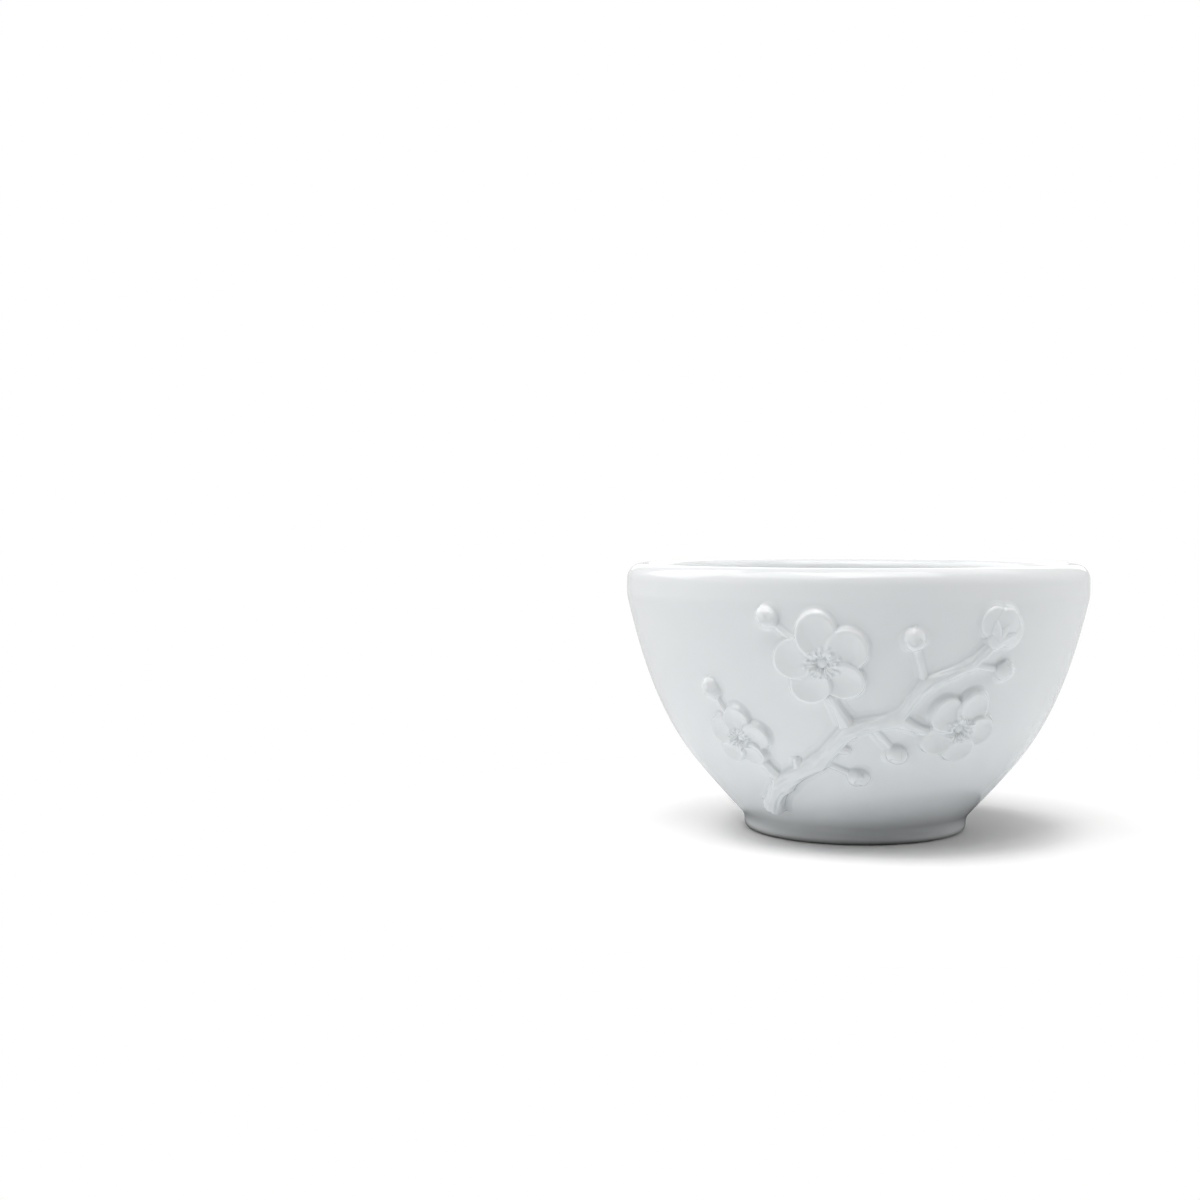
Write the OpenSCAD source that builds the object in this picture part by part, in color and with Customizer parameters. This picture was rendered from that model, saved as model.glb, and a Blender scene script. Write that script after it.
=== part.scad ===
// Low porcelain egg cup on a foot ring, with a flowering plum branch in applied relief.
// Millimetres, +Z up. The origin is the centre of the foot's resting plane; the relief faces -Y.

/* [Bowl] */
// Width across the rim
rim_d = 58.8; // [50:0.2:70]
// Height from the table to the top of the rim
cup_h = 34; // [28:0.5:42]
// Thickness of the wall and the rim
wall_t = 3.5; // [2.4:0.1:4.5]
// Thickness of the cavity's floor above the recess
floor_t = 3.8; // [2.5:0.1:5]
// Height of the upright band below the rim's rounding
band_h = 1.6; // [1:0.1:3]
// Lean of the wall from level where it leaves the foot, in degrees
wall_foot_angle = 47.5; // [42:0.5:55]
// Lean of the wall from level where it meets the band, in degrees
wall_rim_angle = 77; // [72:0.5:82]

/* [Foot] */
// Width across the foot ring's collar
foot_d = 28.4; // [24:0.2:34]
// Height of the upright collar
collar_h = 0.9; // [0.8:0.1:2]
// Width of the foot ring, from its inner to its outer side
ring_w = 2.8; // [2.2:0.1:4]
// Depth of the recess inside the foot ring
recess_h = 1.6; // [1.3:0.1:2.5]
// Rounding of the foot ring's bottom edges
foot_edge_r = 0.7; // [0.4:0.05:0.75]
// Radius of the hollow where the collar flows into the wall
foot_hollow_r = 2; // [1:0.1:3]

/* [Branch] */
// Angle from the front line to the relief's side, in degrees
sprig_turn = 40; // [30:1:44]
// Thickness of the main branch where it starts
branch_d = 2.8; // [2.2:0.1:3.4]
// Thickness of the main branch at its tip
branch_tip_d = 1.4; // [1:0.1:1.8]
// Thickness of a side twig where it leaves the branch
twig_d = 1.7; // [1.3:0.1:2.1]
// Thickness of a side twig at its tip
twig_tip_d = 1.1; // [0.9:0.1:1.3]
// Thickness of a bud's stem
stem_d = 0.9; // [0.7:0.05:1.1]

/* [Blossoms] */
// Width of the large blossom
large_blossom_d = 11; // [9:0.2:13]
// Width of the middle blossom
middle_blossom_d = 9.4; // [7.6:0.2:11]
// Width of the small blossom
small_blossom_d = 8; // [6.4:0.2:9.4]
// Length of the half-open blossom's petals
opening_petal_d = 3.8; // [3:0.1:4.4]
// Height of a petal above the wall
petal_h = 1; // [0.7:0.05:1.2]
// Thickness of a bud
bud_d = 2.5; // [2:0.1:2.9]

/* [Hidden] */

// Facets round a small shape, and round the bowl, whose fine facets keep the relief's back true
$fn = 96;
bowl_fn = 256;

// Glazed porcelain of the cup, and of the relief, where the glaze lies thinner
glaze = [0.95, 0.96, 0.965];
sprig_glaze = [0.97, 0.975, 0.98];

// Steps in the wall's curve and in a rounding
wall_steps = 24;
arc_steps = 6;

// Rim: two roundings, shares of the wall's thickness, with a narrow flat between them
rim_r = rim_d / 2;
lip_outer_share = 0.56;
lip_inner_share = 0.4;
lip_outer_r = wall_t * lip_outer_share;
lip_inner_r = wall_t * lip_inner_share;

// Band below the rim, and the radius with which the wall turns upright into it
band_top_z = cup_h - lip_outer_r;
band_foot_z = band_top_z - band_h;
band_turn_r = 4;

// Foot ring, the recess inside it and the height of the cavity's floor
foot_r = foot_d / 2;
ring_inner_r = foot_r - ring_w;
recess_corner_share = 0.4;
recess_corner_r = recess_h * recess_corner_share;
cavity_z = recess_h + floor_t;

// The wall's outer side is one cubic curve, from the hollow above the collar to the band
lower_pull_share = 0.315;
upper_pull_share = 0.54;
hollow_turn = 90 - wall_foot_angle;
band_turn = 90 - wall_rim_angle;
wall_foot = [foot_r + foot_hollow_r * (1 - cos(hollow_turn)), collar_h + foot_hollow_r * sin(hollow_turn)];
wall_top = [rim_r - band_turn_r * (1 - cos(band_turn)), band_foot_z - band_turn_r * sin(band_turn)];
wall_chord = norm(wall_top - wall_foot);
wall_handles = [
    wall_foot,
    wall_foot + wall_chord * lower_pull_share * heading(wall_foot_angle),
    wall_top - wall_chord * upper_pull_share * heading(wall_rim_angle),
    wall_top
];

// The inner side runs parallel to the outer one, down to where it turns into the cavity's floor
inner_start_share = 0.2;
inner_foot = inner_wall(inner_start_share);
inner_foot_angle = lean(wall_way(inner_start_share));
floor_curve_r = (inner_foot.y - cavity_z) / (1 - cos(inner_foot_angle));
floor_curve_centre = inner_foot + floor_curve_r * heading(inner_foot_angle + 90);

// Blossoms: petals round a centre boss, as shares of the blossom's width and the petal's height
petal_count = 5;
petal_reach_share = 0.29;
petal_size_share = 0.43;
petal_dish_share = 0.6;
petal_dish_depth_share = 0.32;
boss_size_share = 0.3;
boss_rise_share = 1.15;

// Half-open blossom: petals fanned out from the calyx
fan_turns = [-42, 42, 0];
fan_reach_share = 0.55;

// Knots on the wood, the calyx and nose of a bud, as shares of the wood's or the bud's thickness
knot_share = 1.14;
calyx_share = 0.74;
calyx_back_share = 0.42;
nose_share = 0.8;
nose_reach_share = 0.24;

// Places on the wall: a share of sprig_turn to the right, and a share of the way up the wall's curve
main_branch_shares = [
    [-0.86, 0.12], [-0.6, 0.31], [-0.26, 0.46], [-0.03, 0.62],
    [0.26, 0.67], [0.43, 0.79], [0.69, 0.85], [0.84, 0.92]
];
upper_twig_shares = [[-0.03, 0.62], [-0.14, 0.75], [-0.19, 0.86]];
left_twig_shares = [[-0.6, 0.31], [-0.7, 0.42], [-0.84, 0.56]];
right_twig_shares = [[0.26, 0.67], [0.49, 0.61], [0.71, 0.62]];

large_blossom_share = [-0.19, 0.86];
middle_blossom_share = [0.71, 0.62];
small_blossom_share = [-0.84, 0.56];
opening_blossom_share = [0.84, 0.92];

// Turns of the blossoms on the wall, in degrees
large_spin = 100;
middle_spin = 64;
small_spin = 82;
opening_spin = 62;

// Each bud's place on the wood or under a blossom, then its own
bud_shares = [
    [[-0.19, 0.86], [-0.49, 0.975]],
    [[-0.84, 0.56], [-0.97, 0.75]],
    [[-0.26, 0.46], [0.03, 0.37]],
    [[0.1, 0.64], [0.3, 0.5]],
    [[0.43, 0.79], [0.34, 0.92]],
    [[0.69, 0.85], [0.95, 0.83]]
];

// Unit vector at an angle from level
function heading(angle) = [cos(angle), sin(angle)];

// Angle of a vector from level
function lean(way) = atan2(way.y, way.x);

// Points of a rounding about a centre, from one angle to another
function arc(centre, r, from, to) =
    [for (i = [0:arc_steps]) centre + r * heading(from + (to - from) * i / arc_steps)];

// Point of the cubic curve with four handles p at t
function cubic(p, t) =
    pow(1 - t, 3) * p[0] + 3 * pow(1 - t, 2) * t * p[1] + 3 * (1 - t) * t * t * p[2] + pow(t, 3) * p[3];

// Direction of the same curve at t, as long as the curve is fast there
function cubic_way(p, t) =
    3 * (pow(1 - t, 2) * (p[1] - p[0]) + 2 * (1 - t) * t * (p[2] - p[1]) + t * t * (p[3] - p[2]));

// The wall's outer side as [radius, height], and its direction
function outer_wall(t) = cubic(wall_handles, t);
function wall_way(t) = cubic_way(wall_handles, t);

// The wall's inner side, one wall thickness in from the outer one
function inner_wall(t) =
    let (way = wall_way(t) / norm(wall_way(t)))
    outer_wall(t) + wall_t * [-way.y, way.x];

// Point on the wall at a place given in shares
function wall_spot(place) =
    let (side = outer_wall(place.y), turn = place.x * sprig_turn)
    [side.x * sin(turn), -side.x * cos(turn), side.y];

// A place moved over the wall by lengths to the right and up
function beside(place, move) =
    let (degrees = move.x / outer_wall(place.y).x * 180 / PI)
    place + [degrees / sprig_turn, move.y / norm(wall_way(place.y))];

// Outer side of the cup's outline, from the foot ring's flat to the top of the rim
function outer_side() = concat(
    arc([foot_r - foot_edge_r, foot_edge_r], foot_edge_r, -90, 0),
    arc([foot_r + foot_hollow_r, collar_h], foot_hollow_r, 180, 180 - hollow_turn),
    [for (i = [1:wall_steps - 1]) outer_wall(i / wall_steps)],
    arc([rim_r - band_turn_r, band_foot_z], band_turn_r, -band_turn, 0),
    arc([rim_r - lip_outer_r, band_top_z], lip_outer_r, 0, 90)
);

// Inner side of the outline, from the rim down to the cavity's centre
function inner_side() = concat(
    arc([rim_r - wall_t + lip_inner_r, cup_h - lip_inner_r], lip_inner_r, 90, 180),
    [for (i = [wall_steps:-1:wall_steps * inner_start_share + 1]) inner_wall(i / wall_steps)],
    arc(floor_curve_centre, floor_curve_r, inner_foot_angle - 90, -90),
    [[0, cavity_z]]
);

// Underside of the outline, from the recess's centre to the foot ring's flat
function under_side() = concat(
    [[0, recess_h]],
    arc([ring_inner_r - recess_corner_r, recess_h - recess_corner_r], recess_corner_r, 90, 0),
    arc([ring_inner_r + foot_edge_r, foot_edge_r], foot_edge_r, 180, 270)
);

// The cup as if it were full to the rim: what the relief's back is pressed against
module cup_outside() {
    rotate_extrude($fn = bowl_fn)
        polygon(concat([[0, 0]], outer_side(), [[0, cup_h]]));
}

module cup_body() {
    color(glaze)
        rotate_extrude($fn = bowl_fn)
            polygon(concat(under_side(), outer_side(), inner_side()));
}

// Brings what is built on the XY plane to the wall, with Z outwards and Y up the wall
module on_wall(place) {
    way = wall_way(place.y) / norm(wall_way(place.y));
    translate(wall_spot(place))
        rotate([0, 0, place.x * sprig_turn])
            rotate([180 - lean(way), 0, 0])
                children();
}

// Straight round rod that tapers from one point to another
module rod(from, to, from_d, to_d) {
    reach = to - from;
    span = norm(reach);
    translate(from)
        rotate([0, acos(reach.z / span), atan2(reach.y, reach.x)])
            cylinder(h = span, d1 = from_d, d2 = to_d);
}

// Tapering branch through a list of places, with a knot at each
module limb(places, from_d, to_d) {
    last = len(places) - 1;
    for (i = [0:last])
        translate(wall_spot(places[i]))
            sphere(d = knot_share * (from_d + (to_d - from_d) * i / last));
    for (i = [0:last - 1])
        rod(
            wall_spot(places[i]), wall_spot(places[i + 1]),
            from_d + (to_d - from_d) * i / last, from_d + (to_d - from_d) * (i + 1) / last
        );
}

// Low dome of a given width and height on the XY plane, with its ball going on below
module dome(d, h) {
    ball_r = (d * d / 4 + h * h) / (2 * h);
    translate([0, 0, h - ball_r])
        sphere(r = ball_r);
}

// Petal: a dome with a shallow dish in its top
module petal(d, h) {
    dish_d = d * petal_dish_share;
    dish_h = h * petal_dish_depth_share;
    dish_r = (dish_d * dish_d / 4 + dish_h * dish_h) / (2 * dish_h);
    difference() {
        dome(d, h);
        translate([0, 0, h - dish_h + dish_r])
            sphere(r = dish_r);
    }
}

// Where a blossom's petals sit around its centre
function petal_places(place, d, spin) =
    [for (i = [0:petal_count - 1])
        let (turn = spin + 360 * i / petal_count)
        beside(place, d * petal_reach_share * heading(turn))];

// Open blossom, its petals and its centre boss following the wall
module open_blossom(place, d, spin) {
    for (spot = petal_places(place, d, spin))
        on_wall(spot)
            petal(d * petal_size_share, petal_h);
    on_wall(place)
        dome(d * boss_size_share, petal_h * boss_rise_share);
}

// Space that an open blossom takes up, with nothing left standing on its petals
module blossom_seat(place, d, spin) {
    open_seat(place, d * boss_size_share);
    for (spot = petal_places(place, d, spin))
        open_seat(spot, d * petal_size_share);
}

// One round patch of that space, open outwards
module open_seat(place, d) {
    on_wall(place) {
        dome(d, petal_h);
        translate([0, 0, -petal_h])
            cylinder(d = d, h = petal_h + branch_d);
    }
}

// Half-open blossom seen from its side: outer petals, then the one in front, then the calyx
module half_open_blossom(place, d, spin) {
    for (turn = fan_turns)
        on_wall(beside(place, d * fan_reach_share * heading(spin + turn)))
            dome(d, petal_h);
    on_wall(place)
        dome(bud_d, petal_h);
}

// Closed bud with its calyx, on a stem from one place to another
module stemmed_bud(places) {
    foot = wall_spot(places[0]);
    tip = wall_spot(places[1]);
    way = (tip - foot) / norm(tip - foot);
    translate(tip)
        sphere(d = bud_d);
    translate(tip + way * bud_d * nose_reach_share)
        sphere(d = bud_d * nose_share);
    translate(tip - way * bud_d * calyx_back_share)
        sphere(d = bud_d * calyx_share);
    rod(foot, tip, stem_d, stem_d);
}

// Space taken up by every blossom
module blossom_seats() {
    blossom_seat(large_blossom_share, large_blossom_d, large_spin);
    blossom_seat(middle_blossom_share, middle_blossom_d, middle_spin);
    blossom_seat(small_blossom_share, small_blossom_d, small_spin);
    half_open_blossom(opening_blossom_share, opening_petal_d, opening_spin);
}

module main_limb() {
    limb(main_branch_shares, branch_d, branch_tip_d);
}

// Side twig, cut where the main branch and the blossoms lie over it
module twig(places) {
    color(sprig_glaze)
        difference() {
            limb(places, twig_d, twig_tip_d);
            cup_outside();
            main_limb();
            blossom_seats();
        }
}

module main_branch() {
    color(sprig_glaze)
        difference() {
            main_limb();
            cup_outside();
            blossom_seats();
        }
}

module upper_twig() {
    twig(upper_twig_shares);
}

module left_twig() {
    twig(left_twig_shares);
}

module right_twig() {
    twig(right_twig_shares);
}

// Open blossom pressed onto the wall
module seated_blossom(place, d, spin) {
    color(sprig_glaze)
        difference() {
            open_blossom(place, d, spin);
            cup_outside();
        }
}

module large_blossom() {
    seated_blossom(large_blossom_share, large_blossom_d, large_spin);
}

module middle_blossom() {
    seated_blossom(middle_blossom_share, middle_blossom_d, middle_spin);
}

module small_blossom() {
    seated_blossom(small_blossom_share, small_blossom_d, small_spin);
}

module opening_blossom() {
    color(sprig_glaze)
        difference() {
            half_open_blossom(opening_blossom_share, opening_petal_d, opening_spin);
            cup_outside();
        }
}

// Bud with its stem cut where the wood and the blossoms lie over it
module bud(number) {
    color(sprig_glaze)
        difference() {
            stemmed_bud(bud_shares[number - 1]);
            cup_outside();
            main_limb();
            blossom_seats();
        }
}

cup_body();
main_branch();
upper_twig();
left_twig();
right_twig();
large_blossom();
middle_blossom();
small_blossom();
opening_blossom();
bud(1);  // bud_1
bud(2);  // bud_2
bud(3);  // bud_3
bud(4);  // bud_4
bud(5);  // bud_5
bud(6);  // bud_6
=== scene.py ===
"""Low porcelain egg cup with a plum branch in applied relief, modelled around its packed construction."""

from math import asin, atan2, cos, exp, hypot, log, pi, radians, sin, sqrt

import bmesh
import bpy
from bpy.props import FloatProperty, FloatVectorProperty, IntProperty, PointerProperty
from mathutils import Matrix, Vector, noise


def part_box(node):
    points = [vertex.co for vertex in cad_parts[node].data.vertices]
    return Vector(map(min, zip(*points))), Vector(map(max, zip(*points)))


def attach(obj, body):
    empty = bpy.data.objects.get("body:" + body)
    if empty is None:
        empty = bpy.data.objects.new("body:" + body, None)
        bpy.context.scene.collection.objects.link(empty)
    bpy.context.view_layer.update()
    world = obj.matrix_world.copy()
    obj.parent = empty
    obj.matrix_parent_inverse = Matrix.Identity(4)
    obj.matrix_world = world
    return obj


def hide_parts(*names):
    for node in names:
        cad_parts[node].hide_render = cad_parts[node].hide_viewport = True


bl_info = {
    "name": "Porcelain Egg Cup",
    "version": (1, 0, 0),
    "blender": (4, 5, 0),
    "location": "View3D > Sidebar > Egg Cup",
    "description": "Models a glazed egg cup and its plum branch in applied relief",
    "category": "Add Mesh",
}

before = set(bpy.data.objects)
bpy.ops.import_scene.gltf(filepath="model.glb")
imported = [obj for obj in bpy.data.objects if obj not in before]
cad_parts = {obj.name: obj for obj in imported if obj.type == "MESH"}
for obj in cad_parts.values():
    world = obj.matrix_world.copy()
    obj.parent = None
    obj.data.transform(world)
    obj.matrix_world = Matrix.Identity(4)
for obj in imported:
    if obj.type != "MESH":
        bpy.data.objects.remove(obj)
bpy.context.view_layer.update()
cup_low, cup_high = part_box("cup_body")

MM = 0.001
FULL_TURN = 2 * pi


def length(name, description, default, **more):
    """A length in metres."""
    return FloatProperty(
        name=name, description=description, default=default, min=0, precision=5, unit="LENGTH", **more
    )


def angle(name, description, default):
    """An angle, given here in degrees."""
    return FloatProperty(name=name, description=description, default=radians(default), unit="ROTATION")


def factor(name, description, default):
    """A plain number."""
    return FloatProperty(name=name, description=description, default=default)


def share(name, description, default):
    """A share of another size."""
    return FloatProperty(name=name, description=description, default=default, min=0, subtype="FACTOR")


def colour(name, description, default):
    """A colour as the shaders take it."""
    return FloatVectorProperty(
        name=name, description=description, default=default, min=0, max=1, size=3, subtype="COLOR"
    )


class EggCupSizes(bpy.types.PropertyGroup):
    """Sizes of the cast cup."""

    rim_d: length("Rim width", "Width across the rim", cup_high.x - cup_low.x)
    cup_h: length("Height", "Height from the table to the top of the rim", cup_high.z)
    wall_t: length("Wall", "Thickness of the wall and the rim", 3.5 * MM)
    floor_t: length("Floor", "Thickness of the cavity's floor above the recess", 3.8 * MM)
    band_h: length("Band", "Height of the upright band below the rim's rounding", 1.6 * MM)
    band_turn_r: length("Band radius", "Radius with which the wall turns into the band", 4 * MM)
    wall_foot_angle: angle("Lean at the foot", "Lean of the wall from level at the foot", 47.5)
    wall_rim_angle: angle("Lean at the rim", "Lean of the wall from level at the band", 77)
    lip_outer_share: share("Outer lip", "Outer rounding of the rim, of the wall", 0.56)
    lip_inner_share: share("Inner lip", "Inner rounding of the rim, of the wall", 0.4)
    foot_d: length("Foot width", "Width across the foot ring's collar", 28.4 * MM)
    collar_h: length("Collar", "Height of the upright collar", 0.9 * MM)
    ring_w: length("Ring", "Width of the foot ring, inner to outer side", 2.8 * MM)
    recess_h: length("Recess", "Depth of the recess inside the foot ring", 1.6 * MM)
    recess_corner_share: share("Recess corner", "Rounding of the recess, of its depth", 0.4)
    foot_edge_r: length("Foot edge", "Rounding of the foot ring's bottom edges", 0.7 * MM)
    foot_hollow_r: length("Foot hollow", "Radius where the collar flows into the wall", 2 * MM)
    lower_pull_share: share("Lower pull", "Pull of the wall's curve at the foot", 0.315)
    upper_pull_share: share("Upper pull", "Pull of the wall's curve at the rim", 0.54)
    inner_start_share: share("Inner start", "Where the inner wall leaves the cavity's floor", 0.2)
    unevenness: length("Unevenness", "How far the cast wall strays from round", 0.06 * MM)
    turn_steps: IntProperty(name="Turn steps", description="Steps round the cup", default=288, min=16)
    wall_steps: IntProperty(name="Wall steps", description="Steps up the wall", default=64, min=4)
    arc_steps: IntProperty(name="Arc steps", description="Steps in a rounding", default=12, min=2)


class ReliefSizes(bpy.types.PropertyGroup):
    """Sizes of the branch, its blossoms and its buds."""

    sprig_turn: angle("Reach", "Angle from the front line to the relief's side", 40)
    branch_d: length("Branch", "Thickness of the main branch where it starts", 2.8 * MM)
    branch_tip_d: length("Branch tip", "Thickness of the main branch at its tip", 1.4 * MM)
    twig_d: length("Twig", "Thickness of a side twig where it leaves the branch", 1.7 * MM)
    twig_tip_d: length("Twig tip", "Thickness of a side twig at its tip", 1.1 * MM)
    stem_d: length("Stem", "Thickness of a bud's stem", 0.9 * MM)
    large_blossom_d: length("Large blossom", "Width of the large blossom", 11 * MM)
    middle_blossom_d: length("Middle blossom", "Width of the middle blossom", 9.4 * MM)
    small_blossom_d: length("Small blossom", "Width of the small blossom", 8 * MM)
    opening_petal_d: length("Opening petal", "Length of the half-open blossom's petals", 3.8 * MM)
    petal_h: length("Petal height", "Height of a petal above the wall", 1 * MM)
    bud_d: length("Bud", "Thickness of a bud", 2.5 * MM)
    fillet: length("Slip fillet", "Reach of the slip and glaze along a piece's border", 0.42 * MM)
    sink: length("Sink", "Depth of a piece's border below the wall's face", 0.015 * MM)
    back_t: length("Back", "Depth of a piece's back below the wall's face", 0.4 * MM)


class GlazeFinish(bpy.types.PropertyGroup):
    """Colours of the porcelain."""

    body: colour("Porcelain", "White of the glazed porcelain", (0.884, 0.896, 0.902))
    body_cool: colour("Cool porcelain", "White where the glaze lies thicker", (0.866, 0.883, 0.892))
    # In the hollows this colour is partly glaze gathered there and partly painted shade
    pooled_glaze_and_shade: colour("Pooled glaze", "Glaze gathered in the hollows", (0.79, 0.825, 0.845))
    relief: colour("Relief", "White of the relief's raised parts", (0.89, 0.905, 0.915))
    bare: colour("Bare clay", "Unglazed clay of the foot's resting face", (0.8, 0.785, 0.76))


class CupStage(bpy.types.PropertyGroup):
    """Floor, lamps and camera."""

    floor: colour("Floor", "Colour of the floor as the camera sees it", (1, 0.985, 0.98))
    floor_gain: factor("Floor gain", "Factor on the seen floor's colour", 1.18)
    # Painted shadow: the floor as the camera sees it is painted darker close to the cup's foot, and these
    # four settings place that patch
    painted_shadow_gain: factor("Shade gain", "The same close to the cup's foot", 0.85)
    painted_shadow_from: length("Shade from", "Distance up to which the shade gain holds", 0.0173)
    painted_shadow_to: length("Shade to", "Distance from which the floor gain holds", 0.0262)
    painted_shadow_shift: length("Shade shift", "How far right of the cup's middle these distances start", 0.0054)
    bounce: colour("Bounce", "Colour of the floor for the light it sends back", (0.88, 0.9, 0.91))
    # Painted shade: close to the cup's foot the floor sends back almost no light, which darkens the foot
    # and the lower wall; these four settings place that patch
    painted_shade_bounce: colour("Near bounce", "The same close to the cup's foot", (0.02, 0.0205, 0.021))
    painted_shade_bounce_from: length("Near from", "Distance up to which the near bounce holds", 0.0173)
    painted_shade_bounce_to: length("Near to", "Distance from which the full bounce holds", 0.0186)
    painted_shade_bounce_shift: length("Near shift", "How far right of the cup's middle these distances start", 0.002)
    white_from: length("White from", "Distance at which the floor starts to turn plain white", 0.021)
    white_at: length("White at", "Distance from which the floor is plain white", 0.07)
    mirrored: share("Mirrored white", "Brightness of the white surroundings in the glaze", 0.72)
    key: factor("Key", "Brightness of the large lamp high at the left", 2.0)
    high: factor("High", "Brightness of the lamp nearly overhead", 2.3)
    rear: factor("Rear", "Brightness of the high lamp behind at the right", 0.6)
    side: factor("Side", "Brightness of the lamp behind at the left", 1.85)
    left: factor("Left", "Brightness of the low lamp at the front left", 2.0)
    right: factor("Right", "Brightness of the low lamp at the right", 2.4)
    back: factor("Back", "Brightness of the low lamp behind the cup", 0.9)
    lens: factor("Lens", "Focal length of the camera in millimetres", 50.25)
    shift: factor("Shift", "Sideways shift of the picture", -0.06)
    eye: FloatVectorProperty(
        name="Eye", description="Place of the camera", default=(0, -0.2168, 0.03884), size=3, subtype="XYZ"
    )
    yaw: angle("Yaw", "How far the camera looks to the left of the cup", 6.253)
    pitch: angle("Pitch", "How far the camera looks down", 2.559)


def heading(turn):
    """Unit vector at an angle from level."""
    return Vector((cos(turn), sin(turn)))


def arc(centre, r, start, end, steps):
    """Points of a rounding about a centre, from one angle to another."""
    return [centre + r * heading(start + (end - start) * i / steps) for i in range(steps + 1)]


def cubic(p, t):
    """Point of the cubic curve with four handles p at t."""
    s = 1 - t
    return s * s * s * p[0] + 3 * s * s * t * p[1] + 3 * s * t * t * p[2] + t * t * t * p[3]


def cubic_way(p, t):
    """Direction of the same curve at t, as long as the curve is fast there."""
    s = 1 - t
    return 3 * (s * s * (p[1] - p[0]) + 2 * s * t * (p[2] - p[1]) + t * t * (p[3] - p[2]))


def smooth_step(low, high, value):
    """0 below low, 1 above high, and smooth between them."""
    k = min(max((value - low) / (high - low), 0), 1)
    return k * k * (3 - 2 * k)


def bump(distance, width):
    """Smooth hump of height 1 that dies away over a width."""
    return exp(-((distance / width) ** 2))


def soft_max(values, softness):
    """Largest of some values, with a smooth change from one to another."""
    return softness * log(sum(exp(value / softness) for value in values))


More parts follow.
